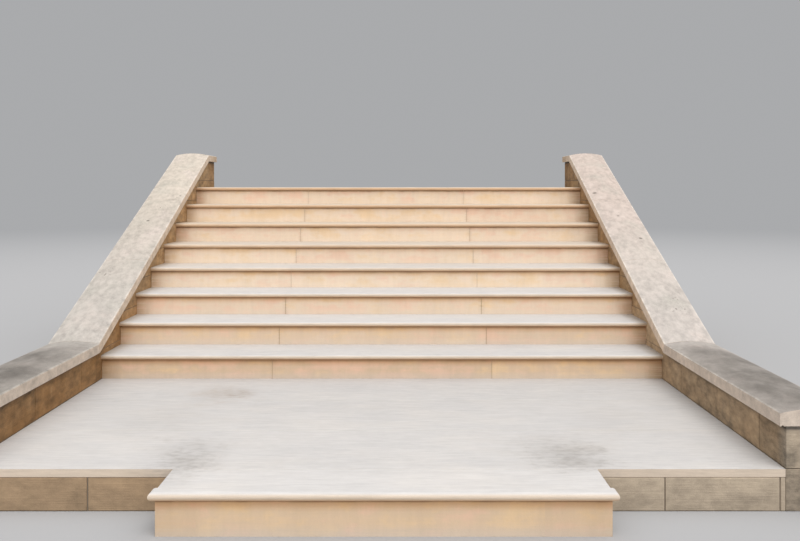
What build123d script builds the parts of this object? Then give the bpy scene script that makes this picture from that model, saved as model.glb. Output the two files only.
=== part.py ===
"""Wide outdoor stone steps with a front landing and coped cheek walls.

Seen from the front, a single nosed step leads onto a broad landing. Behind it a straight flight
of thin nosed treads on separate riser slabs climbs between two cheek walls to a top landing that
ends at a plain upright face. Cambered copings cover the walls: low and level beside the landing,
raked beside the flight and level again at the top.

Millimetres. X runs across the flight, +Y runs back in the direction of climb, +Z is up.
The origin is the middle of the part's plan, at ground level.
"""
from build123d import *

import os
from math import atan2, cos, degrees, radians

# Flight
riser_height = 155.0
going = 335.0
riser_count = 8
flight_width = 3620.0
tread_thickness = 28.0
riser_thickness = 20.0
nosing_overhang = 25.0
middle_slab_length = 1420.0
left_joint_drift = 6.3
slab_joint = 2.0

# Front step, which stands a little to one side of the flight's middle
front_rise = 185.0
front_slab_width = 1908.0
front_end_overhang = 24.0
paving_thickness = 35.0
bullnose_flat = 0.2
front_riser_thickness = 60.0
front_step_shift = 55.0
front_projection = 60.0
neck_length = 215.0

# Landings
landing_depth = 1900.0
landing_row_count = 3
top_landing_depth = 730.0

# Cheek walls and copings
wall_thickness = 275.0
coping_overhang = 25.0
coping_edge_thickness = 57.0
coping_camber = 20.0
coping_arris_radius = 5.0
drip_radius = 5.0
drip_inset = 12.0
coping_joint = 2.0
raked_stone_count = 3
low_coping_height = 245.0
top_coping_height = 316.0
coping_above_pitch = 132.0

# Heights
landing_z = front_rise
top_z = landing_z + riser_count * riser_height

# Places along the flight, counted back from the front nosing, then centred on the plan
total_depth = landing_depth + (riser_count - 1) * going + top_landing_depth
front_y = -total_depth / 2
back_y = total_depth / 2
first_nosing_y = front_y + landing_depth
top_nosing_y = first_nosing_y + (riser_count - 1) * going
neck_y = front_y + front_projection
wide_landing_y = neck_y + neck_length

# Places across the flight
coping_width = wall_thickness + 2 * coping_overhang
half_flight = flight_width / 2
half_middle_slab = middle_slab_length / 2
wall_middle_x = half_flight + wall_thickness / 2


def nosing_y(step):
    """Front of the nosing of the given step; step 1 is the first above the landing."""
    return first_nosing_y + (step - 1) * going


def step_z(step):
    """Walking height of the given step; step 0 is the landing."""
    return landing_z + step * riser_height


def riser_face_y(step):
    return nosing_y(step) + nosing_overhang


def riser_back_y(step):
    return riser_face_y(step) + riser_thickness


def block(x_low, x_high, y_low, y_high, z_low, z_high):
    """A plain squared block between two corners."""
    size = (x_high - x_low, y_high - y_low, z_high - z_low)
    middle = ((x_low + x_high) / 2, (y_low + y_high) / 2, (z_low + z_high) / 2)
    return Pos(*middle) * Box(*size)


def slab_spans(step=1):
    """The three lengths of slab across a step, with a joint between neighbours.

    The left joint moves a little further out at each step up.
    """
    gap = slab_joint / 2
    left_joint_x = -half_middle_slab - (step - 1) * left_joint_drift
    return [
        (-half_flight, left_joint_x - gap),
        (left_joint_x + gap, half_middle_slab - gap),
        (half_middle_slab + gap, half_flight),
    ]


def across(profile, x_low, x_high):
    """A side profile, drawn as (y, z), drawn out across the flight."""
    face = Plane.YZ.offset(x_low) * profile
    return extrude(face, amount=x_high - x_low, dir=(1, 0, 0))


def nosed_profile(y_front, y_back, z_top):
    """Side profile of a slab with a full bullnose at its front."""
    radius = tread_thickness / 2
    z_low = z_top - tread_thickness
    outline = Polyline(
        (y_front + radius, z_top), (y_back, z_top), (y_back, z_low), (y_front + radius, z_low)
    )
    nose = ThreePointArc(
        (y_front + radius, z_low), (y_front, z_low + radius), (y_front + radius, z_top)
    )
    return make_face(outline + nose)


def nosed_slabs(step, y_back):
    """The nosed slabs of a step, from its nosing back to the given place."""
    profile = nosed_profile(nosing_y(step), y_back, step_z(step))
    return [across(profile, low, high) for low, high in slab_spans(step)]


def plain_slabs(step, y_front, y_back, z_low, z_top):
    """Squared slabs with the joints of the given step."""
    spans = slab_spans(step)
    return [block(low, high, y_front, y_back, z_low, z_top) for low, high in spans]


def tread(step):
    """Nosed slabs that run back under the next riser."""
    return nosed_slabs(step, riser_back_y(step + 1))


def riser(step):
    """Upright slabs standing on the step below and carrying the nosing of this one."""
    z_low = step_z(step - 1)
    z_high = step_z(step) - tread_thickness
    return plain_slabs(step, riser_face_y(step), riser_back_y(step), z_low, z_high)


def front_step_slab():
    """One stone, bullnosed along its front and its two free ends, and notched back behind them."""
    half = front_slab_width / 2
    half_neck = half - front_end_overhang
    z_low = front_rise - paving_thickness
    rounding = (paving_thickness - bullnose_flat) / 2
    head = block(
        front_step_shift - half, front_step_shift + half, front_y, neck_y, z_low, front_rise
    )
    upright = head.edges().filter_by(Axis.Z)
    back = head.edges().group_by(Axis.Y)[-1]
    free_edges = [edge for edge in head.edges() if edge not in upright and edge not in back]
    head = fillet(free_edges, rounding)
    neck = block(
        front_step_shift - half_neck,
        front_step_shift + half_neck,
        neck_y,
        wide_landing_y,
        z_low,
        front_rise,
    )
    return [head + neck]


def front_riser():
    half = front_slab_width / 2 - front_end_overhang
    y_low = front_y + nosing_overhang
    return [
        block(
            front_step_shift - half,
            front_step_shift + half,
            y_low,
            y_low + front_riser_thickness,
            0,
            front_rise - paving_thickness,
        )
    ]


def landing_rows():
    """Rows of plain slabs from the neck back to the flight, each row a list of slabs."""
    depth = riser_back_y(1) - wide_landing_y
    pitch = depth / landing_row_count
    rows = []
    for row in range(landing_row_count):
        y_low = wide_landing_y + row * pitch + slab_joint
        y_high = wide_landing_y + (row + 1) * pitch
        rows.append(plain_slabs(1, y_low, y_high, landing_z - paving_thickness, landing_z))
    return rows


def landing_core():
    """Masonry under the landing, with a narrow neck behind the front riser."""
    z_high = landing_z - paving_thickness
    half = front_slab_width / 2 - front_end_overhang
    neck_front_y = front_y + nosing_overhang + front_riser_thickness
    neck = block(
        front_step_shift - half, front_step_shift + half, neck_front_y, wide_landing_y, 0, z_high
    )
    wide = block(-half_flight, half_flight, wide_landing_y, riser_back_y(1), 0, z_high)
    return [neck + wide]


def flight_core():
    """Stepped masonry that carries the treads, from the ground up to the top landing."""
    points = [(riser_back_y(1), 0)]
    for step in range(1, riser_count + 1):
        seat_z = step_z(step) - tread_thickness
        points.append((riser_back_y(step), seat_z))
        if step < riser_count:
            points.append((riser_back_y(step + 1), seat_z))
    points.append((back_y, top_z - tread_thickness))
    points.append((back_y, 0))
    profile = make_face(Polyline(*points, close=True))
    return [across(profile, -half_flight, half_flight)]


# Line of the coping's arrises, seen from the side
pitch_slope = riser_height / going
low_arris_z = landing_z + low_coping_height
top_arris_z = top_z + top_coping_height
low_bend_y = first_nosing_y + (low_arris_z - coping_above_pitch - step_z(1)) / pitch_slope
top_bend_y = first_nosing_y + (top_arris_z - coping_above_pitch - step_z(1)) / pitch_slope
rake_angle = degrees(atan2(riser_height, going))

front_end = Vector(0, wide_landing_y, low_arris_z)
low_bend = Vector(0, low_bend_y, low_arris_z)
top_bend = Vector(0, top_bend_y, top_arris_z)
back_end = Vector(0, back_y, top_arris_z)


def coping_section(plane):
    """Coping section: flat bed with two drip grooves, eased arrises and a cambered top."""
    half = coping_width / 2
    bed = -coping_edge_thickness
    outline = Polyline((half, 0), (half, bed), (-half, bed), (-half, 0))
    camber = ThreePointArc((-half, 0), (0, coping_camber), (half, 0))
    section = make_face(outline + camber)
    top_corners = section.vertices().group_by(Axis.Y)[-1]
    section = fillet(top_corners, coping_arris_radius)
    for side in (-1, 1):
        section -= Pos(side * (half - drip_inset), bed) * Circle(drip_radius)
    return plane * section


def coping_length(start, end):
    """A straight length of coping between two points on the arris line, cut square."""
    direction = (end - start).normalized()
    plane = Plane(origin=start, x_dir=(1, 0, 0), z_dir=-direction)
    return extrude(coping_section(plane), amount=(end - start).length, dir=direction)


def cut_between(solid, start_plane, end_plane):
    """Keeps the part of a length that lies between two cutting planes facing up the flight."""
    solid = split(solid, bisect_by=start_plane, keep=Keep.TOP)
    return split(solid, bisect_by=end_plane, keep=Keep.BOTTOM)


def joint_plane(point, angle, shift):
    """A cutting plane that leans back by the angle, moved along its normal by the shift."""
    normal = Vector(0, 1, 0).rotate(Axis.X, angle)
    return Plane(origin=point + normal * shift, z_dir=normal)


def coping_lengths():
    """Low, raked and top lengths of coping over the wall's middle line, mitred at the bends."""
    half_joint = coping_joint / 2
    spare = coping_width * (Vector(0, 1, 0).rotate(Axis.X, rake_angle))
    level_spare = Vector(0, coping_width, 0)
    mitre = rake_angle / 2

    low = cut_between(
        coping_length(front_end, low_bend + level_spare),
        joint_plane(front_end, 0, 0),
        joint_plane(low_bend, mitre, -half_joint),
    )
    top = cut_between(
        coping_length(top_bend - level_spare, back_end),
        joint_plane(top_bend, mitre, half_joint),
        joint_plane(back_end, 0, 0),
    )

    whole = coping_length(low_bend - spare, top_bend + spare)
    rake = top_bend - low_bend
    cuts = [(low_bend, mitre)]
    for stone in range(1, raked_stone_count):
        cuts.append((low_bend + rake * (stone / raked_stone_count), rake_angle))
    cuts.append((top_bend, mitre))
    raked = []
    for (start, start_angle), (end, end_angle) in zip(cuts, cuts[1:]):
        raked.append(
            cut_between(
                whole,
                joint_plane(start, start_angle, half_joint),
                joint_plane(end, end_angle, -half_joint),
            )
        )
    return [low], raked, [top]


def bed_drop(angle):
    """Upright distance from the arris line down to the coping's bed on a run of that rake."""
    return coping_edge_thickness / cos(radians(angle))


def bed_bend_y(bend_y):
    """Where the level and raked beds meet below a bend of the arris line."""
    return bend_y + (bed_drop(rake_angle) - coping_edge_thickness) / pitch_slope


def kerb_wall():
    """Low wall beside the landing, up to the bed of the low coping."""
    half = wall_thickness / 2
    z_high = low_arris_z - coping_edge_thickness
    return [block(-half, half, wide_landing_y, bed_bend_y(low_bend_y), 0, z_high)]


def cheek_wall():
    """Wall beside the flight, following the raked and the top coping's beds."""
    half = wall_thickness / 2
    low_y = bed_bend_y(low_bend_y)
    top_y = bed_bend_y(top_bend_y)
    low_z = low_arris_z - coping_edge_thickness
    top_bed_z = top_arris_z - coping_edge_thickness
    points = [(low_y, 0), (low_y, low_z), (top_y, top_bed_z), (back_y, top_bed_z), (back_y, 0)]
    profile = make_face(Polyline(*points, close=True))
    return [across(profile, -half, half)]


def on_side(solids, side):
    return [Pos(side * wall_middle_x, 0, 0) * solid for solid in solids]


def all_pieces():
    """Every piece by name, as a list of solids that don't touch one another."""
    pieces = {
        "front_riser": front_riser(),
        "front_step_slab": front_step_slab(),
        "landing_core": landing_core(),
        "flight_core": flight_core(),
    }
    for name, row in zip(("front", "middle", "back"), landing_rows()):
        pieces[f"landing_slabs_{name}"] = row
    for step in range(1, riser_count + 1):
        pieces[f"riser_{step}"] = riser(step)
    for step in range(1, riser_count):
        pieces[f"tread_{step}"] = tread(step)

    nosed_back_y = top_nosing_y + going + nosing_overhang + riser_thickness
    pieces["top_nosed_slabs"] = nosed_slabs(riser_count, nosed_back_y)
    pieces["top_landing_slabs"] = plain_slabs(
        riser_count, nosed_back_y + slab_joint, back_y, top_z - tread_thickness, top_z
    )

    low, raked, top = coping_lengths()
    for side_name, side in (("left", -1), ("right", 1)):
        pieces[f"{side_name}_kerb_wall"] = on_side(kerb_wall(), side)
        pieces[f"{side_name}_cheek_wall"] = on_side(cheek_wall(), side)
        pieces[f"{side_name}_low_coping"] = on_side(low, side)
        pieces[f"{side_name}_raked_coping"] = on_side(raked, side)
        pieces[f"{side_name}_top_coping"] = on_side(top, side)
    return pieces


def main():
    os.makedirs("parts", exist_ok=True)
    for name, solids in all_pieces().items():
        shape = solids[0] if len(solids) == 1 else Compound(children=solids)
        export_step(shape, f"parts/{name}.step")
        print(name, len(solids), round(shape.volume / 1e9, 5), "cubic metres")


main()
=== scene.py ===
# %% [markdown]
# # Outdoor stone steps
# A broad flight of sawn limestone steps between two cheek walls. This lesson dresses the packed
# solids: it sets up the view and the light, writes the stone finishes as node recipes, lays the
# ashlar of the walls and the pointing of the joints with Geometry Nodes, and hands every piece to
# the frame. All lengths are in metres. The front is at -Y, the steps climb towards +Y and Z is up.

# %% Load the fixed frame
import math

import bmesh
import bpy
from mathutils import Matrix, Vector


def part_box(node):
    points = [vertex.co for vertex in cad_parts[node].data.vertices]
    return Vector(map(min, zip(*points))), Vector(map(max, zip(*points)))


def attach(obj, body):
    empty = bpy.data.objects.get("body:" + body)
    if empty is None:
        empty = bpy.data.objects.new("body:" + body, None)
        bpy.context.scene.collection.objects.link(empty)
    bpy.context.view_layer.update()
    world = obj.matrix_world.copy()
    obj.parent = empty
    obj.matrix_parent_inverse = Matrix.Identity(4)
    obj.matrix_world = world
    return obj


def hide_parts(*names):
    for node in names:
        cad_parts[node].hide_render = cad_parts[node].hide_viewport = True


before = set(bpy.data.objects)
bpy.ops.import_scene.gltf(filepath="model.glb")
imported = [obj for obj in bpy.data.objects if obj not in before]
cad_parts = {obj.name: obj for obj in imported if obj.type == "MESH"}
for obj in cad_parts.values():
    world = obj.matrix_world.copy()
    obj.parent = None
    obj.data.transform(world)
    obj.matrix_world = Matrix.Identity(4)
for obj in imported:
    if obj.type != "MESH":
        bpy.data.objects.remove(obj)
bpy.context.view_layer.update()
scene = bpy.context.scene
print("nodes:", len(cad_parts))

# %% [markdown]
# ## Measure the flight
# Every later step needs the same few sizes. They are read from the solids' boxes where a box shows
# them, so that the dressing follows the part. What a box doesn't show, such as the overhang of a
# nosing and the joints between slabs, is repeated here.

# %% Sizes of the flight
first_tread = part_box("tread_1")
second_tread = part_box("tread_2")
top_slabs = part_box("top_nosed_slabs")
front_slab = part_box("front_step_slab")
back_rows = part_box("landing_slabs_back")
kerb_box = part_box("right_kerb_wall")
flight_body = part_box("flight_core")
landing_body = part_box("landing_core")

nosing_overhang = 0.025
riser_thickness = 0.020
end_overhang = 0.024
joint_x = 0.710
joint_drift = 0.0063
joint_width = 0.002
landing_row_count = 3

riser_height = second_tread[0].z - first_tread[0].z
going = second_tread[0].y - first_tread[0].y
landing_z = front_slab[1].z
top_z = top_slabs[1].z
half_flight = first_tread[1].x
front_y = front_slab[0].y
first_nosing_y = first_tread[0].y
back_y = flight_body[1].y
wide_landing_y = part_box("landing_slabs_front")[0].y - joint_width
low_bed_z = kerb_box[1].z
top_bed_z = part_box("right_cheek_wall")[1].z
kerb_end_y = kerb_box[1].y
top_bend_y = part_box("right_top_coping")[0].y
tread_thickness = first_tread[1].z - first_tread[0].z
step_count = round((top_z - landing_z) / riser_height)
slope = riser_height / going
landing_depth = first_nosing_y + nosing_overhang + riser_thickness - wide_landing_y
landing_row_depth = landing_depth / landing_row_count
print("riser", round(riser_height, 4), "going", round(going, 4), "steps", step_count)
print("landing at", round(landing_z, 4), "top landing at", round(top_z, 4))

# %% [markdown]
# ## Camera
# The steps are seen square on, from in front of the first step, at the height of the top landing.
# A level camera keeps all uprights parallel, so the picture is framed by shifting the lens and not
# by tilting the camera.

# %% Set up the camera
image_width = 800
image_height = 541
focal_pixels = 790.0
vanishing_column = 402.0
horizon_row = 188.3
eye_x = 0.129
eye_height = 1.4157
eye_distance = 3.185


def in_scene(name, data):
    """A new object in the scene, from a mesh, a light or a camera."""
    made = bpy.data.objects.new(name, data)
    scene.collection.objects.link(made)
    return made


camera_data = bpy.data.cameras.new("front_view")
camera_data.sensor_width = 36.0
camera_data.lens = focal_pixels / image_width * camera_data.sensor_width
camera_data.shift_x = -(vanishing_column - image_width / 2) / image_width
camera_data.shift_y = -(image_height / 2 - horizon_row) / image_width
camera = in_scene("front_view", camera_data)
camera.location = (eye_x, front_y - eye_distance, eye_height)
camera.rotation_euler = (math.radians(90), 0, 0)
scene.camera = camera
print("camera at", [round(c, 3) for c in camera.location], "lens", round(camera_data.lens, 2))

# %% [markdown]
# ## Values and recipes
# A finish is easier to read as arithmetic than as a list of nodes and wires. `Value` wraps a
# socket, so `1 - mask` adds the Math node for it. `Recipe` writes a node tree, for a stone finish
# or for Geometry Nodes, and every node comes from its one method: the kind, its settings, and what
# goes into its sockets. The method gives back the node's first output as a value.

# %% Value
def operator(operation):
    """A Python operator that adds a Math node."""
    return lambda value, *others: value.math(operation, value, *others)


class Value:
    """A socket that can be added, multiplied and compared like a number."""

    def __init__(self, recipe, socket):
        self.recipe = recipe
        self.socket = socket

    def math(self, operation, *numbers):
        names = ("Value", "Value_001", "Value_002")
        return self.recipe.node(
            "ShaderNodeMath", {"operation": operation}, dict(zip(names, numbers))
        )

    __add__ = __radd__ = operator("ADD")
    __sub__ = operator("SUBTRACT")
    __mul__ = __rmul__ = operator("MULTIPLY")
    __truediv__ = operator("DIVIDE")
    __mod__ = operator("MODULO")
    __gt__ = operator("GREATER_THAN")
    __abs__ = operator("ABSOLUTE")
    __floor__ = operator("FLOOR")
    __ceil__ = operator("CEIL")
    smaller = operator("MINIMUM")
    larger = operator("MAXIMUM")

    def __rsub__(self, other):
        return self.math("SUBTRACT", other, self)

    def output(self, name):
        """Another output of the same node."""
        outputs = self.socket.node.outputs
        return Value(self.recipe, next(s for s in outputs if s.identifier == name))


print("values can be added and compared")

# %% Recipe
class Recipe:
    """A node tree that is written one node at a time."""

    def __init__(self, tree):
        self.tree = tree

    def node(self, kind, settings=None, sockets=None):
        made = self.tree.nodes.new(kind)
        for name, setting in (settings or {}).items():
            setattr(made, name, setting)
        for name, given in (sockets or {}).items():
            socket = next(s for s in made.inputs if s.identifier == name)
            for one in given if isinstance(given, list) else [given]:
                if isinstance(one, Value):
                    self.tree.links.new(one.socket, socket)
                else:
                    socket.default_value = one
        shown = [s for s in made.outputs if s.enabled]
        return Value(self, shown[0]) if shown else None


print("recipes can be written")

# %% [markdown]
# ## Words for stone
# The finishes share a small vocabulary. `cloud` is soft noise stretched to sizes in metres, so the
# same word makes long bedding streaks, upright saw marks or fine grain. `fade` is a soft step,
# `mixed` goes from one colour to another, `tinted` stains a colour, and `toned` makes it lighter or
# darker. Noise that reads the piece's own coordinates stays in place on the stone from every side.

# %% Words for places
def place(recipe):
    """Where a point lies on the steps, as one vector and as X, Y and Z values."""
    spot = recipe.node("ShaderNodeTexCoord").output("Object")
    parts = recipe.node("ShaderNodeSeparateXYZ", {}, {"Vector": spot})
    return spot, parts.output("X"), parts.output("Y"), parts.output("Z")


def facing_up(recipe):
    """1 on level tops, 0 on uprights and -1 on undersides."""
    normal = recipe.node("ShaderNodeNewGeometry").output("Normal")
    return recipe.node("ShaderNodeSeparateXYZ", {}, {"Vector": normal}).output("Z")


def away_from(spot, point):
    """How far a place on the stone is from a point."""
    return spot.recipe.node(
        "ShaderNodeVectorMath",
        {"operation": "DISTANCE"},
        {"Vector": spot, "Vector_001": point},
    ).output("Value")


print("words for places ready")

# %% Words for noise and colour
def cloud(spot, sizes, seed=0.0, detail=3.0, roughness=0.55):
    """Soft noise between about -1 and 1, its features stretched to the sizes in metres."""
    scaled = spot.recipe.node(
        "ShaderNodeVectorMath",
        {"operation": "MULTIPLY"},
        {"Vector": spot, "Vector_001": tuple(1 / size for size in sizes)},
    )
    noise = spot.recipe.node(
        "ShaderNodeTexNoise",
        {"noise_dimensions": "4D"},
        {"Vector": scaled, "W": seed, "Scale": 1.0, "Detail": detail, "Roughness": roughness},
    )
    return (noise - 0.5) * 3.2


def fade(value, low, high):
    """A soft step: 0 below low, 1 above high. It falls instead where low is above high."""
    return value.recipe.node(
        "ShaderNodeMapRange",
        {"interpolation_type": "SMOOTHSTEP"},
        {"Value": value, "From Min": low, "From Max": high, "To Min": 0.0, "To Max": 1.0},
    )


def mixed(mask, first, second, blend="MIX"):
    """The first colour where the mask is 0 and the second where it is 1."""
    return mask.recipe.node(
        "ShaderNodeMix",
        {"data_type": "RGBA", "blend_type": blend},
        {"Factor_Float": mask, "A_Color": first, "B_Color": second},
    )


def tinted(mask, colour, tint):
    """The colour multiplied by a tint where the mask is 1."""
    return mixed(mask, colour, tint, "MULTIPLY")


def toned(colour, amount):
    """The colour made lighter or darker by a factor."""
    return colour.recipe.node(
        "ShaderNodeVectorMath", {"operation": "SCALE"}, {"Vector": colour, "Scale": amount}
    )


print("words for noise and colour ready")

# %% Words for slabs
def vector(recipe, x, y, z):
    """Three values as one vector."""
    return recipe.node("ShaderNodeCombineXYZ", {}, {"X": x, "Y": y, "Z": z})


def tone_of_slab(column, row, seed):
    """One random number from -1 to 1 for each slab, from its place in the laying."""
    key = vector(column.recipe, column, row, seed)
    white_noise = {"noise_dimensions": "3D"}
    random = column.recipe.node("ShaderNodeTexWhiteNoise", white_noise, {"Vector": key})
    return random * 2 - 1


def slab_column(x, step):
    """0, 1 or 2 from the left slab to the right one; the left joint drifts out step by step."""
    return (x + (step - 1) * joint_drift > -joint_x) + (x > joint_x)


print("slabs meet at", -joint_x, "and", joint_x)

# %% Words for whole finishes
def blank_material(name):
    """An empty material and its recipe."""
    material = bpy.data.materials.new(name)
    material.use_nodes = True
    material.node_tree.nodes.clear()
    return material, Recipe(material.node_tree)


def dress(colour, roughness, height, depth):
    """Joins colour, roughness and height to the stone's shader and its output."""
    recipe = colour.recipe
    relief = recipe.node("ShaderNodeBump", {}, {"Height": height, "Distance": depth})
    surface = recipe.node(
        "ShaderNodeBsdfPrincipled",
        {},
        {
            "Base Color": colour,
            "Roughness": roughness,
            "Normal": relief,
            "Specular IOR Level": 0.3,
        },
    )
    recipe.node("ShaderNodeOutputMaterial", {}, {"Surface": surface})


def coat(material, *node_names):
    """Puts a finish on solids of the frame."""
    for node_name in node_names:
        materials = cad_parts[node_name].data.materials
        materials.clear()
        materials.append(material)
    print(material.name, "on", len(node_names), "nodes")


print("finishes can be started, dressed and laid on")

# %% [markdown]
# ## Palette
# The stone is one warm limestone. The slab tops are painted a cool near white, as painted sky
# light, and their edges buff, as painted warm bounce light. Upright faces keep the quarry's buff,
# with peach and ochre in it, and the copings are an older, mottled ivory. Some colours stand for
# painted light and shade, as the finishes below say; the rest are the dry stone's own colours,
# before any light falls on it.

# %% Palette
sky_lit_white = (0.512, 0.496, 0.484, 1.0)
cream = (0.530, 0.503, 0.476, 1.0)
warm_bounce_top = (0.510, 0.428, 0.340, 1.0)
edge_buff = (0.600, 0.500, 0.400, 1.0)
warm_edge = (0.640, 0.462, 0.318, 1.0)
topmost_edge = (0.605, 0.405, 0.255, 1.0)
shaded_buff = (0.680, 0.480, 0.310, 1.0)
buff = (0.600, 0.440, 0.300, 1.0)
front_buff = (0.655, 0.490, 0.335, 1.0)
pale_buff = (0.768, 0.625, 0.485, 1.0)
peach = (0.765, 0.500, 0.365, 1.0)
ochre = (0.745, 0.535, 0.310, 1.0)
chalk = (0.745, 0.640, 0.540, 1.0)
rubbed_cream = (0.600, 0.545, 0.480, 1.0)
stain_and_shade_brown = (0.200, 0.105, 0.045, 1.0)
warm_tint = (0.930, 0.790, 0.640, 1.0)
grime_and_shade_tint = (0.720, 0.640, 0.540, 1.0)
rose_tint = (0.965, 0.915, 0.945, 1.0)
foot_dust_and_bounce = (0.580, 0.500, 0.420, 1.0)
pale_dust_and_bounce = (0.770, 0.640, 0.500, 1.0)
ivory = (0.455, 0.418, 0.378, 1.0)
warm_ivory = (0.500, 0.440, 0.372, 1.0)
rose_ivory = (0.560, 0.480, 0.430, 1.0)
lichen_grey = (0.350, 0.345, 0.295, 1.0)
coping_tan = (0.650, 0.525, 0.410, 1.0)
coping_grey_tan = (0.620, 0.520, 0.430, 1.0)
smoke = (0.250, 0.232, 0.216, 1.0)
ash = (0.165, 0.148, 0.130, 1.0)
old_stain = (0.300, 0.235, 0.185, 1.0)
soot = (0.085, 0.072, 0.060, 1.0)
wall_tan = (0.450, 0.295, 0.158, 1.0)
wall_ochre = (0.345, 0.200, 0.086, 1.0)
wall_pale = (0.560, 0.455, 0.310, 1.0)
plinth_buff = (0.660, 0.510, 0.360, 1.0)
plinth_dun = (0.540, 0.410, 0.285, 1.0)
rain_grey = (0.400, 0.335, 0.262, 1.0)
lime_mortar = (0.500, 0.470, 0.440, 1.0)
dark_mortar = (0.400, 0.280, 0.180, 1.0)
pale_mortar = (0.700, 0.560, 0.420, 1.0)
bed_mortar = (0.200, 0.160, 0.120, 1.0)
core_grey = (0.380, 0.335, 0.285, 1.0)
print("palette from bleached", sky_lit_white[:3], "to soot", soot[:3])

# %% [markdown]
# ## Light and floor
# The steps stand in open shade, with a bright sky above and in front of them. A plain soft studio
# does the same with a world that is brightest overhead, dimmer in front and dimmest behind, and one
# very soft sun for a gentle line of shade under each nosing. The floor is plain and pale, and far
# out it takes the colour of the backdrop so that no horizon cuts the picture.

# %% Light
scene.view_settings.view_transform = "Standard"
scene.view_settings.look = "None"
scene.view_settings.exposure = 0.0
scene.view_settings.gamma = 1.0

backdrop = (0.40, 0.405, 0.415, 1.0)
open_sky = (1.70, 1.70, 1.71, 1.0)
brightest_way = (0.10, -0.45, 0.887)

world = bpy.data.worlds.new("open_shade")
world.use_nodes = True
world.node_tree.nodes.clear()
scene.world = world
sky = Recipe(world.node_tree)
direction = sky.node("ShaderNodeTexCoord").output("Generated")
towards_sky = sky.node(
    "ShaderNodeVectorMath",
    {"operation": "DOT_PRODUCT"},
    {"Vector": direction, "Vector_001": brightest_way},
).output("Value")
glow = mixed(fade(towards_sky, 0.1, 1.0), backdrop, open_sky)
lit = sky.node("ShaderNodeBackground", {}, {"Color": glow, "Strength": 1.0})
sky.node("ShaderNodeOutputWorld", {}, {"Surface": lit})

sun_data = bpy.data.lights.new("soft_sun", "SUN")
sun_data.energy = 1.2
sun_data.angle = math.radians(34)
sun_data.color = (1.0, 0.975, 0.945)
sun = in_scene("soft_sun", sun_data)
sun.rotation_euler = (math.radians(26), 0, math.radians(24))
print("world and sun ready")

# %% Floor
floor_grey = (0.365, 0.365, 0.37, 1.0)
floor_radius = 60.0
floor_fades_from = 7.0
floor_fades_to = 26.0


def object_from(work, name):
    """Ends a mesh in the making and puts it in the scene."""
    mesh = bpy.data.meshes.new(name)
    work.to_mesh(mesh)
    work.free()
    return in_scene(name, mesh)


disc = bmesh.new()
bmesh.ops.create_circle(disc, cap_ends=True, segments=96, radius=floor_radius)
floor = object_from(disc, "studio_floor")

floor_material, studio = blank_material("studio_floor")
far_out = fade(away_from(place(studio)[0], (0, 0, 0)), floor_fades_from, floor_fades_to)
near = studio.node(
    "ShaderNodeBsdfPrincipled",
    {},
    {"Base Color": floor_grey, "Roughness": 0.9, "Specular IOR Level": 0.1},
)
far = studio.node("ShaderNodeEmission", {}, {"Color": backdrop, "Strength": 1.0})
merged = studio.node(
    "ShaderNodeMixShader", {}, {"Fac": far_out, "Shader": near, "Shader_001": far}
)
studio.node("ShaderNodeOutputMaterial", {}, {"Surface": merged})
floor.data.materials.append(floor_material)
print("floor reaches", floor_radius, "m")

# %% [markdown]
# ## Paving finish
# The landing, the front step and the treads are sawn slabs laid with their bedding level, so faint
# streaks run across them. Their tops are painted a cool near white, as painted sky light; the
# bullnosed edge is cream and its underside buff, as painted warm bounce light. The recipe blends
# these by how far a point faces up, then adds streaks, soft clouds and fine grain. The landing has
# soft grey smudges, partly dirt and partly painted shadow of the gate posts, and old brown stains.
# The upper treads are painted warmer, as painted warm bounce light. The lower treads and the back
# of the landing are darker, as painted shade, and its front edge is lighter, as painted light.

# %% Paving finish
def landing_row(y):
    """0, 1 or 2 from the front row of the landing to the back row."""
    return math.floor((y - wide_landing_y) / landing_row_depth)


def tread_number(z):
    """1 for the first tread, 8 for the top landing."""
    return math.floor((z - landing_z) / riser_height + 0.5)


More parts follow.
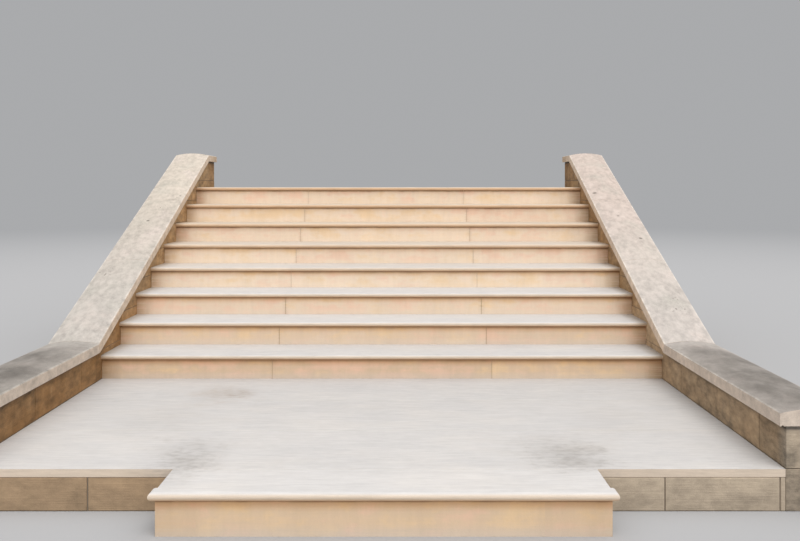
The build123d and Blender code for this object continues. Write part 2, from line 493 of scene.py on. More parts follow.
def paving_finish(name, seed, climbs, marks_and_shadows=(), shade=0.0):
    """Sawn limestone for level slabs, which lie in rows on the landing or climb with the steps."""
    material, recipe = blank_material(name)
    spot, x, y, z = place(recipe)
    up = facing_up(recipe)
    streaks = cloud(spot, (0.130, 0.012, 0.012), seed, 4.0, 0.65)
    dashes = cloud(spot, (0.060, 0.005, 0.005), seed + 3.1, 3.0, 0.6)
    clouds = cloud(spot, (0.35, 0.16, 0.16), seed + 5.7, 4.0, 0.6)
    blotches = cloud(spot, (0.050, 0.030, 0.030), seed + 7.2, 4.0, 0.6)
    grain = cloud(spot, (0.004, 0.004, 0.004), seed + 9.3, 2.0, 0.6)
    row = tread_number(z) if climbs else landing_row(y)
    slab = tone_of_slab(slab_column(x, row if climbs else 1), row, seed)

    # painted light: near white tops as painted sky light, buff edges and undersides as painted warm
    # bounce light
    top = mixed(fade(clouds, -0.7, 1.3), sky_lit_white, cream)
    edge = edge_buff
    if climbs:
        # painted warm bounce light: tops and edges are painted warmer up the flight, the top
        # landing's tops less so
        upper_warm_bounce = fade(z + clouds * 0.05, 0.62, 1.12)
        top = mixed(upper_warm_bounce, top, warm_bounce_top)
        top_landing = fade(z, 1.30, 1.41) * fade(up, 0.95, 1.0)
        top = mixed(top_landing * 0.35, top, cream)
        edge = mixed(upper_warm_bounce, edge_buff, warm_edge)
        edge = mixed(fade(z, 1.05, 1.43), edge, topmost_edge)
    edge = mixed(fade(up, -0.8, 0.0), shaded_buff, edge)
    colour = mixed(fade(up, 0.25, 0.97), edge, top)
    if climbs:
        # the ends of the treads are darker and browner beside the cheek walls
        by_wall = fade(half_flight - abs(x) + blotches * 0.02, 0.110, 0.0)
        colour = tinted(by_wall * 0.7, colour, grime_and_shade_tint)
    # smudges: partly dirt and partly painted shadow of the gate posts
    for centre_x, centre_y, reach, strength, stain in marks_and_shadows:
        away = away_from(spot, (centre_x, centre_y, landing_z))
        ragged = away - (clouds * 0.5 + blotches * 0.3) * reach
        mask = fade(ragged, reach, 0.0) * (0.6 + fade(blotches, -0.4, 0.8) * 0.6)
        colour = mixed(mask * strength, colour, stain)
    # painted shade: the lower treads and the back of the landing are darker; painted light: the
    # landing's front edge is lighter
    if climbs:
        first_step = fade(z, landing_z + riser_height * 2, landing_z + riser_height)
        tone = 1 - first_step * shade
    else:
        towards_flight = fade(y, front_y + 0.59, first_nosing_y)
        at_front_edge = fade(y, front_y + 0.34, front_y + 0.19)
        tone = 0.985 - towards_flight * shade + at_front_edge * 0.07
    tone = tone + streaks * 0.140 + clouds * 0.040 - fade(dashes, 0.4, 1.3) * 0.18
    tone = tone + blotches * 0.040 + grain * 0.035 + slab * 0.012
    roughness = 0.60 + streaks * 0.05 + grain * 0.05
    height = grain * 0.5 + streaks * 0.4
    dress(toned(colour, tone), roughness, height, 0.0006)
    return material


print("slab tones follow", landing_row_count, "landing rows and", step_count, "steps")

# %% Lay the paving finish on its slabs
# x, y, reach, strength and stain of each smudge: the grey ones by the gate posts are partly dirt
# and partly painted shadow of the posts, the two wide ones only darken the sides, and the brown
# ones are old stains
smudges_and_post_shadows = (
    (-0.86, -1.94, 0.26, 0.40, smoke),
    (-0.88, -2.13, 0.22, 0.50, smoke),
    (-0.88, -2.33, 0.16, 0.30, smoke),
    (0.91, -2.10, 0.25, 0.46, smoke),
    (0.86, -1.96, 0.36, 0.34, smoke),
    (-0.95, -0.96, 0.26, 0.40, old_stain),
    (-0.82, -0.94, 0.14, 0.40, old_stain),
    (-1.15, -1.50, 0.40, 0.18, smoke),
    (1.20, -1.50, 0.40, 0.15, smoke),
)
landing_stone = paving_finish("landing_stone", 1.7, False, smudges_and_post_shadows, 0.095)
tread_stone = paving_finish("tread_stone", 6.2, True, (), 0.035)
row_names = [f"landing_slabs_{row}" for row in ("front", "middle", "back")]
tread_names = [f"tread_{step}" for step in range(1, step_count)]
coat(landing_stone, "front_step_slab", *row_names)
coat(tread_stone, *tread_names, "top_nosed_slabs", "top_landing_slabs")

# %% [markdown]
# ## Riser finish
# The risers are thin slabs sawn upright. The saw left faint upright marks, and peach, ochre and
# pale bands of the bed show in them. Each slab has its own tone. Pale dust lies on the foot of a
# riser, partly painted bounce light from the tread below. Under the nosing the top of each riser
# carries painted shade, warm and soft, with a dark brown line of painted shade in the corner; it
# is weaker up the flight. Some joints have a brown stain, and the lower risers are a little deeper
# in colour than the upper ones, partly painted shade and partly damp.

# %% Riser finish
def riser_finish(name, face, seed, lowest, highest):
    """Sawn limestone for upright slabs; its colour goes from lowest to highest up the flight."""
    material, recipe = blank_material(name)
    spot, x, _, z = place(recipe)
    level = math.floor((z - face["foot"]) / face["rise"])
    above_foot = (z - face["foot"]) - level * face["rise"]
    patches = cloud(spot, (0.15, 0.40, 0.40), seed, 4.0, 0.6)
    drift = cloud(spot, (0.18, 0.40, 0.10), seed + 4.4, 4.0, 0.6)
    pale_bed = cloud(spot, (0.16, 0.40, 0.10), seed + 1.8, 4.0, 0.6)
    beds = cloud(spot, (0.22, 0.30, 0.008), seed + 6.4, 4.0, 0.65)
    saw_marks = cloud(spot, (0.030, 0.20, 0.22), seed + 2.3, 6.0, 0.72)
    grain = cloud(spot, (0.005, 0.005, 0.005), seed + 8.1, 3.0, 0.6)
    slab = tone_of_slab(slab_column(x, level + 1), level, seed)

    # the lower risers are darker: partly painted shade, partly damp
    higher = fade(z, 0.15, 0.75)
    colour = mixed(higher, lowest, highest)
    bed_tint = drift + slab * 0.2
    colour = mixed(fade(bed_tint, -0.05, 0.6) * 0.65, colour, ochre)
    colour = mixed(fade(bed_tint, 0.05, -0.6) * 0.60, colour, peach)
    chalky = fade(pale_bed, 0.1, 1.2) * fade(z, 0.1, 0.6)
    colour = mixed(chalky * 0.75, colour, chalk)
    # pale dust at the foot of each riser, partly painted bounce light from the tread below
    dust_and_bounce_colour = mixed(higher, foot_dust_and_bounce, pale_dust_and_bounce)
    dust_and_bounce = fade(above_foot + beds * 0.010, 0.060, 0.004)
    colour = mixed(dust_and_bounce * 0.60, colour, dust_and_bounce_colour)
    # painted shade under the nosing, darker and warmer as painted bounce light, with some dirt;
    # weaker up the flight
    below_nosing = face["height"] - above_foot + patches * 0.004
    up_the_flight = fade(z, 0.65, 1.15)
    warm = fade(below_nosing, 0.054, 0.012) * (1 - up_the_flight * 0.75)
    colour = tinted(warm, colour, warm_tint)
    # painted shade: a dark brown line in the corner under each nosing
    damp_and_shade = fade(below_nosing, face["nosing shade reach"] - up_the_flight * 0.007, 0.003)
    colour = mixed(damp_and_shade * (0.70 + up_the_flight * 0.14), colour, stain_and_shade_brown)
    to_end = face["half width"] - abs(x - face["middle"]) + patches * 0.04
    soiled = fade(to_end, face["soiled reach"], 0.0) * fade(beds, -1.2, 0.4)
    colour = tinted(soiled * face["soiling"], colour, grime_and_shade_tint)
    right_joint = abs(x - joint_x)
    left_joint = abs(x + joint_x + level * joint_drift)
    joint = right_joint.smaller(left_joint)
    stain = fade(joint, 0.030, 0.0) * fade(beds, -0.5, 1.0)
    stain = stain * 0.7 + fade(joint, 0.0065, 0.0010) * 0.6
    stain = stain * (0.55 + tone_of_slab(level, 0.5, seed) * 0.45)
    colour = mixed(stain * face["joint stain"], colour, stain_and_shade_brown)
    tone = 1 + slab * 0.018 + patches * 0.040 + beds * 0.035
    tone = tone + saw_marks * 0.055 + grain * 0.030
    height = saw_marks * 0.6 + grain * 0.5
    dress(toned(colour, tone), 0.68 + grain * 0.05, height, 0.0005)
    return material


print("a riser shows", round(riser_height - tread_thickness, 3), "under its nosing")

# %% Lay the riser finish on its slabs
front_low, front_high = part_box("front_riser")
flight_face = {
    "foot": landing_z,
    "rise": riser_height,
    "height": riser_height - tread_thickness,
    "nosing shade reach": 0.027,
    "middle": 0.0,
    "half width": half_flight,
    "soiled reach": 0.14,
    "soiling": 1.0,
    "joint stain": 0.50,
}
front_face = {
    "foot": 0.0,
    "rise": 0.5,
    "height": front_high.z,
    "nosing shade reach": 0.014,
    "middle": (front_low.x + front_high.x) / 2,
    "half width": (front_high.x - front_low.x) / 2,
    "soiled reach": 0.35,
    "soiling": 0.30,
    "joint stain": 0.0,
}
riser_stone = riser_finish("riser_stone", flight_face, 3.3, buff, pale_buff)
front_riser_stone = riser_finish("front_riser_stone", front_face, 7.9, front_buff, front_buff)
coat(riser_stone, *[f"riser_{step}" for step in range(1, step_count + 1)])
coat(front_riser_stone, "front_riser")

# %% [markdown]
# ## Coping finish
# The copings have stood longer than the treads. They are ivory, mottled in soft patches, with dark
# specks, a few rusty ones, and lighter arrises where the edge has been rubbed. Their upright edges
# are tan. The low level lengths hold more dirt, so they lean to grey. The arrises run straight
# along the steps, so a line of X is enough to find them.

# %% Coping finish
coping_inner_x = abs(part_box("right_raked_coping")[0].x)
coping_outer_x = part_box("right_raked_coping")[1].x
arris_reach = 0.014
arris_full = 0.003
back_reach = 0.25


def coping_finish(name, seed, dirt, chips=()):
    """Weathered ivory limestone for the copings; dirt goes from 0 to 1."""
    material, recipe = blank_material(name)
    spot, x, y, z = place(recipe)
    up = facing_up(recipe)
    patches = cloud(spot, (0.14, 0.22, 0.22), seed, 5.0, 0.65)
    tints = cloud(spot, (0.20, 0.24, 0.24), seed + 5.1, 4.0, 0.6)
    mottle = cloud(spot, (0.035, 0.050, 0.050), seed + 2.9, 4.0, 0.65)
    grain = cloud(spot, (0.005, 0.005, 0.005), seed + 6.6, 3.0, 0.6)
    specks = cloud(spot, (0.016, 0.024, 0.024), seed + 7.7, 2.0, 0.5)
    speck_mask = fade(specks + mottle * 0.45, 0.85, 1.10)
    blooms = cloud(spot, (0.17, 0.24, 0.24), seed + 9.9, 5.0, 0.65)

    clean = mixed(fade(z, 0.45, 1.45), ivory, warm_ivory)
    rosy = fade(x, 0.0, 0.5) * (0.35 + fade(z, 0.90, 1.20) * 0.65)
    clean = tinted(rosy, clean, rose_tint)
    colour = mixed(fade(tints, 0.0, 0.9) * 0.75, clean, rose_ivory)
    colour = mixed(fade(tints, 0.1, -1.0) * 0.55, colour, lichen_grey)
    stained = fade(mottle + patches, 0.1, 1.4) * (0.28 + dirt * 0.30)
    settled = 0.44 + fade(blooms + mottle * 0.4, -0.8, 0.8) * 0.42
    from_bend = kerb_end_y - y
    across = abs(x)
    outwards = fade(across, 1.76, 1.90)
    settled = settled * (0.44 + fade(from_bend, 0.0, 0.45) * (0.48 + outwards * 0.40))
    colour = mixed(settled * dirt, colour, ash)
    colour = mixed(stained, colour, smoke)
    edge = coping_grey_tan if dirt > 0.5 else coping_tan
    upright = fade(up, 0.75, 0.35)
    colour = mixed(upright * (1 - dirt * 0.15), colour, edge)
    # painted shade of the house: the upright edges are darker near the back
    house_shade = fade(y, top_bend_y, top_bend_y + back_reach)
    colour = tinted(upright * house_shade * 0.7, colour, grime_and_shade_tint)
    colour = mixed(speck_mask * 0.75, colour, soot)
    rubbed = fade(across, coping_inner_x + arris_reach, coping_inner_x + arris_full)
    rubbed = rubbed + fade(across, coping_outer_x - arris_reach, coping_outer_x - arris_full)
    rubbed = rubbed * fade(mottle, -0.8, 0.4) * fade(up, 0.3, 0.7)
    colour = mixed(rubbed * (0.75 - dirt * 0.35), colour, rubbed_cream)
    flecks = fade(specks + mottle * 0.5, 0.15, 0.75)
    for chip_x, chip_y, chip_z, reach in chips:
        away = away_from(spot, (chip_x, chip_y, chip_z))
        mask = fade(away - mottle * (reach * 0.4), reach, reach * 0.35)
        mask = mask * flecks if reach > 0.05 else mask
        colour = mixed(mask * 0.7, colour, soot)
    duller = fade(x, 0.0, -0.5) * fade(z, 1.45, 1.15)
    tone = 1 - duller * 0.085 + patches * 0.105 + mottle * 0.320 + grain * 0.120
    tone = tone - blooms * (dirt * 0.05)
    height = grain * 0.4 + mottle * 0.6 - speck_mask * 0.8
    dress(toned(colour, tone), 0.74 + mottle * 0.06, height, 0.0012)
    return material


print("copings from", round(coping_inner_x, 3), "to", round(coping_outer_x, 3))

# %% Lay the coping finish on its stones
# x, y, z and reach of each chip
dark_chips = (
    (1.838, 1.334, 1.376, 0.026),
    (-1.960, 1.300, 1.385, 0.020),
    (-1.822, 1.286, 1.357, 0.016),
    (-1.842, 1.250, 1.344, 0.013),
    (-1.960, 0.830, 1.150, 0.017),
    (2.010, 0.560, 1.020, 0.020),
    (1.930, 0.910, 1.185, 0.015),
    (2.000, -0.357, 0.597, 0.075),
    (2.025, -0.245, 0.648, 0.060),
    (-1.900, 1.050, 1.240, 0.080),
    (-2.030, 0.100, 0.810, 0.090),
    (1.880, 1.420, 1.410, 0.080),
)
raked_stone = coping_finish("raked_coping_stone", 2.4, 0.10, dark_chips)
low_stone = coping_finish("low_coping_stone", 8.8, 1.0)
for side in ("left", "right"):
    coat(low_stone, f"{side}_low_coping")
    coat(raked_stone, f"{side}_raked_coping", f"{side}_top_coping")

# %% [markdown]
# ## Wall and core finishes
# The walls are blocks of the same stone, duller and more yellow because rain seldom washes them.
# Each block is its own island of the mesh, and Random Per Island gives it its own tone. Dirt
# gathers at the foot, and the outer faces have weathered to grey. Painted shade darkens the walls
# low down, near the top, close under the coping and near the house, and the low corner beside the
# first steps is painted lighter, as painted light. The blocks beside the front step stay cleaner
# and buff, and the back of the flight is plain grey masonry.

# %% Wall and core finishes
def wall_finish(name, light, dark, seed, staining=1.0):
    """Sawn wall blocks, each with a tone of its own."""
    material, recipe = blank_material(name)
    spot, x, y, z = place(recipe)
    island = recipe.node("ShaderNodeNewGeometry").output("Random Per Island")
    patches = cloud(spot, (0.30, 0.30, 0.18), seed, 5.0, 0.6)
    mottle = cloud(spot, (0.08, 0.08, 0.045), seed + 1.3, 4.0, 0.65)
    tooling = cloud(spot, (0.30, 0.30, 0.005), seed + 5.2, 2.0, 0.6)
    grain = cloud(spot, (0.003, 0.003, 0.003), seed + 4.8, 2.0, 0.6)
    runs = cloud(spot, (0.08, 0.08, 0.30), seed + 6.3, 4.0, 0.65)
    colour = mixed(fade(patches, -0.8, 0.9), light, dark)
    on_left = fade(x, 0.0, -0.5)
    on_right = fade(x, 0.0, 0.5)
    outside = fade(abs(x), half_flight + 0.04, half_flight + 0.24)
    front_end = fade(y, wide_landing_y + 0.10, wide_landing_y)
    washed = outside.larger(front_end)
    colour = mixed(washed * (staining * 0.65), colour, rain_grey)
    colour = mixed(fade(runs + mottle * 0.4, 0.0, 1.4) * 0.45, colour, wall_pale)
    dark_runs = fade(runs + patches * 0.5, 0.0, -1.4) * (staining * 0.50)
    colour = mixed(dark_runs, colour, soot)
    smoky = fade(mottle + patches, 0.6, 1.8) * (staining * 0.50)
    colour = mixed(smoky, colour, smoke)
    # the left wall is darker and browner low down, the right one greyer there and darker high up
    low_down = fade(z, 0.70, 0.45)
    colour = tinted(on_left * low_down, colour, grime_and_shade_tint)
    colour = mixed(on_right * low_down * 0.25, colour, lichen_grey)
    high_up = on_right * fade(z, 0.75, 1.05)
    colour = tinted(high_up * (staining * 0.45), colour, grime_and_shade_tint)
    # painted shade of the house: the walls are darker near the back
    house_shade = fade(y, top_bend_y, top_bend_y + back_reach) * (1 - outside)
    colour = tinted(house_shade * 0.7, colour, grime_and_shade_tint)
    foot = fade(z + patches * 0.03, 0.16, 0.0)
    colour = mixed(foot * (staining * 0.35), colour, soot)
    # painted shade: a dark band under the coping, darkest in a thin line right below it
    rising_bed = (y - kerb_end_y) * slope + low_bed_z
    coping_bed = rising_bed.larger(low_bed_z).smaller(top_bed_z)
    shade_below_coping = fade(coping_bed - z + patches * 0.012, 0.050, 0.004) * 0.35
    shade_below_coping = shade_below_coping + fade(coping_bed - z, 0.020, 0.009) * 0.60
    colour = mixed(shade_below_coping, colour, soot)
    # painted shade: darker low down and near the top; painted light: the low corner by the first
    # steps is lighter
    tone = 0.74 + fade(z, 0.25, 1.0) * 0.20 - fade(z, 1.0, 1.4) * 0.11
    tone = tone + fade(y, -0.75, -0.45) * low_down * 0.32 + island * 0.22
    tone = tone + patches * 0.16 + mottle * (0.10 + staining * 0.48) + grain * 0.08
    height = grain * 0.4 + mottle * 0.5 + tooling * 0.5
    dress(toned(colour, tone), 0.80 + mottle * 0.05, height, 0.0010)
    return material


def mortar_finish(name, low_colour, high_colour, seed):
    """Sandy lime mortar, which takes its high colour at the upper steps."""
    material, recipe = blank_material(name)
    spot, _, _, z = place(recipe)
    sand = cloud(spot, (0.002, 0.002, 0.002), seed, 2.0, 0.7)
    damp_and_shade = cloud(spot, (0.25, 0.25, 0.12), seed + 3.0, 4.0, 0.6)
    colour = mixed(fade(z, 0.50, 1.10), low_colour, high_colour)
    tone = 0.95 + sand * 0.06 + damp_and_shade * 0.08
    dress(toned(colour, tone), 0.92 + sand * 0.04, sand, 0.0008)
    return material


wall_stone = wall_finish("wall_stone", wall_tan, wall_ochre, 5.5)
plinth_stone = wall_finish("plinth_stone", plinth_buff, plinth_dun, 3.7, 0.4)
core_stone = wall_finish("core_stone", core_grey, wall_tan, 9.1)
wall_mortar = mortar_finish("wall_mortar", bed_mortar, bed_mortar, 2.2)
joint_mortar = mortar_finish("joint_mortar", lime_mortar, lime_mortar, 4.9)
riser_mortar = mortar_finish("riser_mortar", dark_mortar, pale_mortar, 6.1)
print("wall and core finishes ready")

# %% [markdown]
# ## Laying the ashlar
# A wall of blocks follows a rule: level courses, upright joints that miss those of the course
# below, and stone lengths that vary a little. Geometry Nodes suit that. One point stands for each
# block, and its number gives its course and its place in it. A cube on each point is stretched
# between its two joints, and the block wall is then cut to the outline of the solid, which also
# gives it the raked top. A random number that belongs to a joint, and not to a block, keeps both
# neighbours of the joint in step.

# %% Start and end of a Geometry Nodes tree
def open_tree(name, inputs):
    """A tree with named inputs, as a recipe and its inputs by name."""
    tree = bpy.data.node_groups.new(name, "GeometryNodeTree")
    tree.interface.new_socket("Geometry", in_out="OUTPUT", socket_type="NodeSocketGeometry")
    for label, kind in inputs.items():
        tree.interface.new_socket(label, in_out="INPUT", socket_type="NodeSocket" + kind)
    recipe = Recipe(tree)
    outputs = recipe.node("NodeGroupInput").socket.node.outputs
    return recipe, {s.name: Value(recipe, s) for s in outputs if s.name}


def close_tree(shape, material):
    """Gives the shape its material and makes it the tree's result."""
    recipe = shape.recipe
    dressed = recipe.node("GeometryNodeSetMaterial", {}, {"Geometry": shape, "Material": material})
    recipe.node("NodeGroupOutput", {}, {"Socket_0": dressed})
    return recipe.tree


print("trees can be opened and closed")

# %% Tree that lays courses of blocks
joint_wander = 0.16
most_set_back = 0.003


def random_number(low, high, key, seed):
    """A steady random number for each key."""
    return key.recipe.node(
        "FunctionNodeRandomValue",
        {"data_type": "FLOAT"},
        {"Min_001": low, "Max_001": high, "ID": key, "Seed": seed},
    ).output("Value_001")


def course_tree():
    recipe, given = open_tree(
        "lay_courses",
        {
            "Outline": "Geometry",
            "Start": "Vector",
            "Turn": "Float",
            "Run Length": "Float",
            "Run Height": "Float",
            "Thickness": "Float",
            "Course Height": "Float",
            "Stone Length": "Float",
            "Joint": "Float",
            "Seed": "Int",
            "Stone": "Material",
        },
    )
    rows = math.ceil(given["Run Height"] / given["Course Height"])
    columns = math.ceil(given["Run Length"] / given["Stone Length"]) + 3
    points = recipe.node("GeometryNodeMeshLine", {"mode": "OFFSET"}, {"Count": rows * columns})
    number = recipe.node("GeometryNodeInputIndex")
    column = math.floor(number / rows)
    row = number - column * rows
    half_bond = (row % 2) * 0.5

    def joint_at(shift):
        key = number + rows * shift
        wander = random_number(-joint_wander, joint_wander, key, given["Seed"])
        return (column + half_bond + wander + (shift - 2)) * given["Stone Length"]

    start = joint_at(0)
    end = joint_at(1)
    set_back = random_number(0.0, most_set_back, number, given["Seed"] + 7)
    middle = vector(recipe, (start + end) * 0.5, 0.0, (row + 0.5) * given["Course Height"])
    length = end - start - given["Joint"]
    thickness = given["Thickness"] - set_back
    size = vector(recipe, length, thickness, given["Course Height"] - given["Joint"])
    placed = recipe.node("GeometryNodeSetPosition", {}, {"Geometry": points, "Position": middle})
    cube = recipe.node("GeometryNodeMeshCube", {}, {"Size": (1.0, 1.0, 1.0)})
    stones = recipe.node(
        "GeometryNodeInstanceOnPoints", {}, {"Points": placed, "Instance": cube, "Scale": size}
    )
    turned = vector(recipe, 0.0, 0.0, given["Turn"])
    stones = recipe.node(
        "GeometryNodeTransform",
        {},
        {"Geometry": stones, "Translation": given["Start"], "Rotation": turned},
    )
    stones = recipe.node("GeometryNodeRealizeInstances", {}, {"Geometry": stones})
    cut = recipe.node(
        "GeometryNodeMeshBoolean",
        {"operation": "INTERSECT", "solver": "EXACT"},
        {"Mesh 2": [stones, given["Outline"]]},
    )
    return close_tree(cut, given["Stone"])


lay_courses = course_tree()
print("laying tree has", len(lay_courses.nodes), "nodes")

# %% [markdown]
# ## Helpers for pieces
# A solid of the frame is loose triangles and must not be touched. A copy of it is merged first,
# and can then be cut or shrunk. When the modifiers of a piece have done their work, the piece is
# turned into a plain mesh, and only then it is given to the frame.

# %% Copies and plain meshes
merge_distance = 1e-5
flat_angle = math.radians(0.2)


def merged_copy(node_name, copy_name):
    """A closed copy of a solid, with its triangles joined."""
    work = bmesh.new()
    work.from_mesh(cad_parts[node_name].data)
    bmesh.ops.remove_doubles(work, verts=work.verts, dist=merge_distance)
    bmesh.ops.dissolve_limit(work, angle_limit=flat_angle, verts=work.verts, edges=work.edges)
    return object_from(work, copy_name)


def add_tree(obj, tree, values):
    """Puts a tree on an object and sets its named inputs through their identifiers."""
    modifier = obj.modifiers.new(tree.name, "NODES")
    modifier.node_group = tree
    places = {s.name: s.identifier for s in tree.interface.items_tree if s.in_out == "INPUT"}
    for name, value in values.items():
        modifier[places[name]] = value


def plain_mesh(worked, name):
    """The worked object's final shape as a new plain mesh object."""
    bpy.context.view_layer.update()
    ready = worked.evaluated_get(bpy.context.evaluated_depsgraph_get())
    mesh = bpy.data.meshes.new_from_object(ready)
    mesh.name = name
    bpy.data.objects.remove(worked)
    return in_scene(name, mesh)


def hand_over(piece, slot_name, *nodes):
    """Gives a finished piece to the frame."""
    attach(piece, "root")
    if nodes:
        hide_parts(*nodes)
    print(piece.name, len(piece.data.polygons), "faces")


print("pieces can be copied and handed over")

# %% Changes of shape
same_place = 1e-4
arris_angle = math.radians(30)


def shrink(obj, amount):
    """Moves every face of a closed mesh inwards by an even amount."""
    work = bmesh.new()
    work.from_mesh(obj.data)
    work.normal_update()
    moves = [v.normal * (-amount * v.calc_shell_factor()) for v in work.verts]
    for vertex, move in zip(work.verts, moves):
        vertex.co += move
    work.to_mesh(obj.data)
    work.free()


def draw_in(obj, face_y, move_y):
    """Moves only the face that lies at a Y."""
    for vertex in obj.data.vertices:
        if abs(vertex.co.y - face_y) < same_place:
            vertex.co.y += move_y


def ease(obj, width):
    """Small rounded arrises on every block."""
    bevel = obj.modifiers.new("eased", "BEVEL")
    bevel.width = width
    bevel.segments = 2
    bevel.limit_method = "ANGLE"
    bevel.angle_limit = arris_angle
    bevel.use_clamp_overlap = True


def laid_blocks(node_name, arris, sizes):
    """Blocks in the outline of a solid, with eased arrises."""
    stones = merged_copy(node_name, node_name + "_stones")
    add_tree(stones, lay_courses, sizes)
    ease(stones, arris)
    return plain_mesh(stones, node_name + "_stones")


print("shapes can be shrunk, drawn in and eased")

# %% [markdown]
# ## Kerb and cheek walls
# On each side a low kerb wall and a tall cheek wall carry the copings. Two courses make the height
# of the kerb wall, and the same courses run on through the cheek wall. The mortar between the
# blocks is a copy of the solid, shrunk by a few millimetres, so that it shows only in the joints.

# %% Lay the walls
kerb_courses = 2
wall_stone_length = 0.52
wall_joint = 0.004
wall_arris = 0.0025
mortar_recess = 0.0035


def lay_wall(node_name, seed):
    low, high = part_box(node_name)
    stones = laid_blocks(
        node_name,
        wall_arris,
        {
            "Start": ((low.x + high.x) / 2, wide_landing_y, 0.0),
            "Turn": math.radians(90),
            "Run Length": back_y - wide_landing_y,
            "Run Height": high.z,
            "Thickness": kerb_box[1].x - kerb_box[0].x,
            "Course Height": (kerb_box[1].z - kerb_box[0].z) / kerb_courses,
            "Stone Length": wall_stone_length,
            "Joint": wall_joint,
            "Seed": seed,
            "Stone": wall_stone,
        },
    )
    mortar = merged_copy(node_name, node_name + "_mortar")
    shrink(mortar, mortar_recess)
    mortar.data.materials.append(wall_mortar)
    hand_over(stones, "wall_stone", node_name)
    hand_over(mortar, "wall_stone")


for side, seed in (("left", 11), ("right", 23)):
    lay_wall(f"{side}_kerb_wall", seed)
    lay_wall(f"{side}_cheek_wall", seed)

# %% [markdown]
# ## Cores of the flight and the landing
# Behind the treads and under the landing the steps are solid masonry. Only the back of the flight
# and the fronts beside the front step are ever seen. The same tree lays a skin of blocks there,
# level with the solid's own face, over a copy of the core whose face is drawn in by the depth of
# the joints.

# %% Face the cores
skin_thickness = 0.1
core_joint = 0.005
core_arris = 0.003
core_recess = 0.004
back_courses = 8
back_stone_length = 0.44


def face_core(node_name, face_y, inwards, course, length, seed, stone):
    """A skin of blocks on the core's face at a Y, over a body that is drawn in there."""
    low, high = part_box(node_name)
    stones = laid_blocks(
        node_name,
        core_arris,
        {
            "Start": (low.x, face_y + inwards * (skin_thickness / 2), 0.0),
            "Turn": 0.0,
            "Run Length": high.x - low.x,
            "Run Height": high.z,
            "Thickness": skin_thickness,
            "Course Height": course,
            "Stone Length": length,
            "Joint": core_joint,
            "Seed": seed,
            "Stone": stone,
        },
    )
    body = merged_copy(node_name, node_name + "_body")
    draw_in(body, face_y, inwards * core_recess)
    body.data.materials.append(wall_mortar)
    hand_over(stones, "core_masonry", node_name)
    hand_over(body, "core_masonry")


back_course = flight_body[1].z / back_courses
front_course = landing_body[1].z
face_core("flight_core", back_y, -1, back_course, back_stone_length, 5, core_stone)
face_core("landing_core", wide_landing_y, 1, front_course, wall_stone_length, 9, plinth_stone)

# %% [markdown]
# ## Pointing of the steps
# The slabs of a tread or a riser meet in joints of two millimetres, filled with lime mortar almost
# to the face. One step's pointing is a thin plate with the outline of a tread or a riser, and the
# flight repeats it, so a second tree sets it on a line of points that climbs with the steps. The
# left joints stand a little further out at each step, so each row of joints has its own climb.

# %% Tree that repeats the pointing up the flight
def pointing_tree():
    recipe, given = open_tree(
        "climb_with_steps",
        {
            "One Step": "Geometry",
            "Steps": "Int",
            "Left Climb": "Vector",
            "Right Climb": "Vector",
            "Between Joints": "Vector",
            "Mortar": "Material",
        },
    )

    def row_of_joints(climb):
        line = recipe.node(
            "GeometryNodeMeshLine",
            {"mode": "OFFSET"},
            {"Count": given["Steps"], "Offset": given[climb]},
        )
        return recipe.node(
            "GeometryNodeInstanceOnPoints", {}, {"Points": line, "Instance": given["One Step"]}
        )

    left = row_of_joints("Left Climb")
    right = row_of_joints("Right Climb")
    right = recipe.node(
        "GeometryNodeTransform", {}, {"Geometry": right, "Translation": given["Between Joints"]}
    )
    both = recipe.node("GeometryNodeJoinGeometry", {}, {"Geometry": [left, right]})
    real = recipe.node("GeometryNodeRealizeInstances", {}, {"Geometry": both})
    return close_tree(real, given["Mortar"])


climb_with_steps = pointing_tree()
print("pointing tree has", len(climb_with_steps.nodes), "nodes")

# %% Shapes of the pointing
def close_rings(work, near, far):
    """Faces over two equal rings of corners and all round between them."""
    work.faces.new(near)
    work.faces.new(list(reversed(far)))
    for i in range(len(near)):
        j = (i + 1) % len(near)
        work.faces.new((near[i], far[i], far[j], near[j]))


def plate(work, outline, x_low, x_high):
    """A closed plate with a side outline of (y, z) points, between two places across."""
    near = [work.verts.new((x_low, y, z)) for y, z in outline]
    far = [work.verts.new((x_high, y, z)) for y, z in outline]
    close_rings(work, near, far)


def box_outline(y_low, y_high, z_low, z_high):
    return [(y_low, z_low), (y_high, z_low), (y_high, z_high), (y_low, z_high)]


def pointing_from(work, name, material=None):
    """The pointing as one object, with every face turned outwards."""
    bmesh.ops.recalc_face_normals(work, faces=work.faces)
    pointing = object_from(work, name)
    if material:
        pointing.data.materials.append(material)
    return pointing


left_gap = (-joint_x - joint_width / 2, -joint_x + joint_width / 2)
right_gap = (joint_x - joint_width / 2, joint_x + joint_width / 2)
print("joints at", [round(x, 4) for x in left_gap + right_gap])

# %% Point the joints of the flight
recess = 0.0003
riser_recess = 0.0015
nose_facets = 12


def climbing_pointing(outline, name, mortar, slot_name):
    """One joint's outline, repeated up the flight in both rows of joints."""
    work = bmesh.new()
    plate(work, outline, *left_gap)
    one_step = pointing_from(work, name + "_one_step")
    add_tree(
        one_step,
        climb_with_steps,
        {
            "Steps": step_count,
            "Left Climb": (-joint_drift, going, riser_height),
            "Right Climb": (0.0, going, riser_height),
            "Between Joints": (joint_x * 2, 0.0, 0.0),
            "Mortar": mortar,
        },
    )
    hand_over(plain_mesh(one_step, name), slot_name)


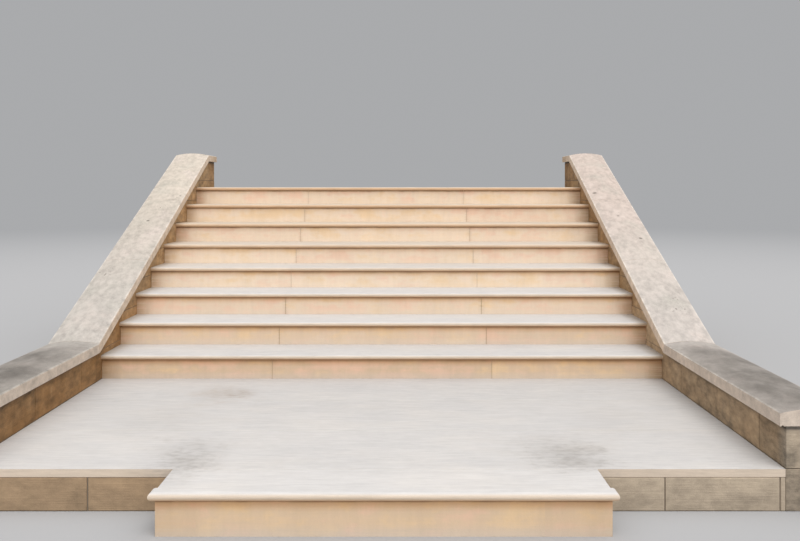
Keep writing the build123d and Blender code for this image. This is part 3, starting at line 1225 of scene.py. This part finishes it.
face_y = first_nosing_y + nosing_overhang
tread_back_y = first_nosing_y + going + nosing_overhang + riser_thickness
tread_low_z = landing_z + riser_height - tread_thickness
nose_radius = tread_thickness / 2
nose_reach = nose_radius - recess
nose_y = first_nosing_y + nose_radius
nose_z = tread_low_z + nose_radius
tread_outline = []
for facet in range(nose_facets + 1):
    angle = math.radians(90 + 180 * facet / nose_facets)
    point_y = nose_y + nose_reach * math.cos(angle)
    point_z = nose_z + nose_reach * math.sin(angle)
    tread_outline.append((point_y, point_z))
tread_outline.append((tread_back_y, tread_low_z + recess))
tread_outline.append((tread_back_y, landing_z + riser_height - recess))
climbing_pointing(tread_outline, "tread_pointing", tread_stone, "tread_stone")

riser_outline = box_outline(
    face_y + riser_recess, face_y + riser_thickness, landing_z, tread_low_z
)
climbing_pointing(riser_outline, "riser_pointing", riser_mortar, "riser_stone")

# %% [markdown]
# ## Pointing of the landings and copings
# The landings are laid in rows, so their joints run both ways. Each is a plain strip just below
# the surface. The copings' joints are short plugs with the section of the coping, a little
# smaller, set in the plane of each joint, which is square to the raked run and leans back half as
# far at the bends.

# %% Point the landings
landing_span = (landing_body[1].z, landing_z - recess)
top_span = (top_z - tread_thickness, top_z - recess)
whole_width = (-half_flight, half_flight)
neck_width = (front_slab[0].x + end_overhang, front_slab[1].x - end_overhang)
top_left_gap = [place_x - (step_count - 1) * joint_drift for place_x in left_gap]
rows_run = (wide_landing_y + joint_width, back_rows[1].y)
top_back_y = top_slabs[1].y

strips = [(left_gap, rows_run, landing_span), (right_gap, rows_run, landing_span)]
for row in range(landing_row_count):
    row_y = wide_landing_y + row * landing_row_depth
    width = whole_width if row else neck_width
    strips.append((width, (row_y, row_y + joint_width), landing_span))
for gap in (top_left_gap, right_gap):
    strips.append((gap, (top_back_y, back_y), top_span))
strips.append((whole_width, (top_back_y, top_back_y + joint_width), top_span))

landing_work = bmesh.new()
for width, run, span in strips:
    plate(landing_work, box_outline(*run, *span), *width)
landing_pointing = pointing_from(landing_work, "landing_pointing", landing_stone)
hand_over(landing_pointing, "tread_stone")

# %% Point the copings
coping_half = (coping_outer_x - coping_inner_x) / 2
coping_middle = (coping_outer_x + coping_inner_x) / 2
edge_thickness = 0.057
camber = 0.020
camber_facets = 8
arris_above_pitch = 0.132
raked_stone_count = 3
plug_inset = 0.0012
plug_half_depth = 0.0016
rake_angle = math.atan(slope)


def bend_at(bed_z):
    """Where the arris line bends, over a level bed of that height."""
    arris_z = bed_z + edge_thickness
    above_first_nosing = arris_z - (landing_z + riser_height + arris_above_pitch)
    return Vector((0, first_nosing_y + above_first_nosing / slope, arris_z))


def coping_plug(work, middle_x, point, angle, run_angle):
    """A thin plug with the coping's section in a joint that leans back by the angle."""
    stretch = 1 / math.cos(angle - run_angle)
    half = coping_half - plug_inset
    section = [(-half, -edge_thickness + plug_inset), (half, -edge_thickness + plug_inset)]
    for facet in range(camber_facets + 1):
        share = 1 - facet / (camber_facets / 2)
        section.append((half * share, camber * (1 - share * share) - plug_inset * 2))
    up_in_plane = Vector((0, -math.sin(angle), math.cos(angle)))
    along = Vector((0, math.cos(angle), math.sin(angle)))
    rings = []
    for shift in (-plug_half_depth, plug_half_depth):
        middle = Vector((middle_x, point.y, point.z)) + along * shift
        rings.append(
            [
                work.verts.new(middle + Vector((across, 0, 0)) + up_in_plane * (up * stretch))
                for across, up in section
            ]
        )
    close_rings(work, *rings)


low_bend = bend_at(low_bed_z)
top_bend = bend_at(top_bed_z)
plug_work = bmesh.new()
for middle_x in (-coping_middle, coping_middle):
    coping_plug(plug_work, middle_x, low_bend, rake_angle / 2, 0.0)
    coping_plug(plug_work, middle_x, top_bend, rake_angle / 2, 0.0)
    for stone in range(1, raked_stone_count):
        point = low_bend + (top_bend - low_bend) * (stone / raked_stone_count)
        coping_plug(plug_work, middle_x, point, rake_angle, rake_angle)
coping_pointing = pointing_from(plug_work, "coping_pointing", joint_mortar)
hand_over(coping_pointing, "coping_stone")

# %% [markdown]
# ## Finish
# The view layer is brought up to date, so that every piece stands in its final place. The
# dressed model must stay inside the box of the solids.

# %% Finish
bpy.context.view_layer.update()
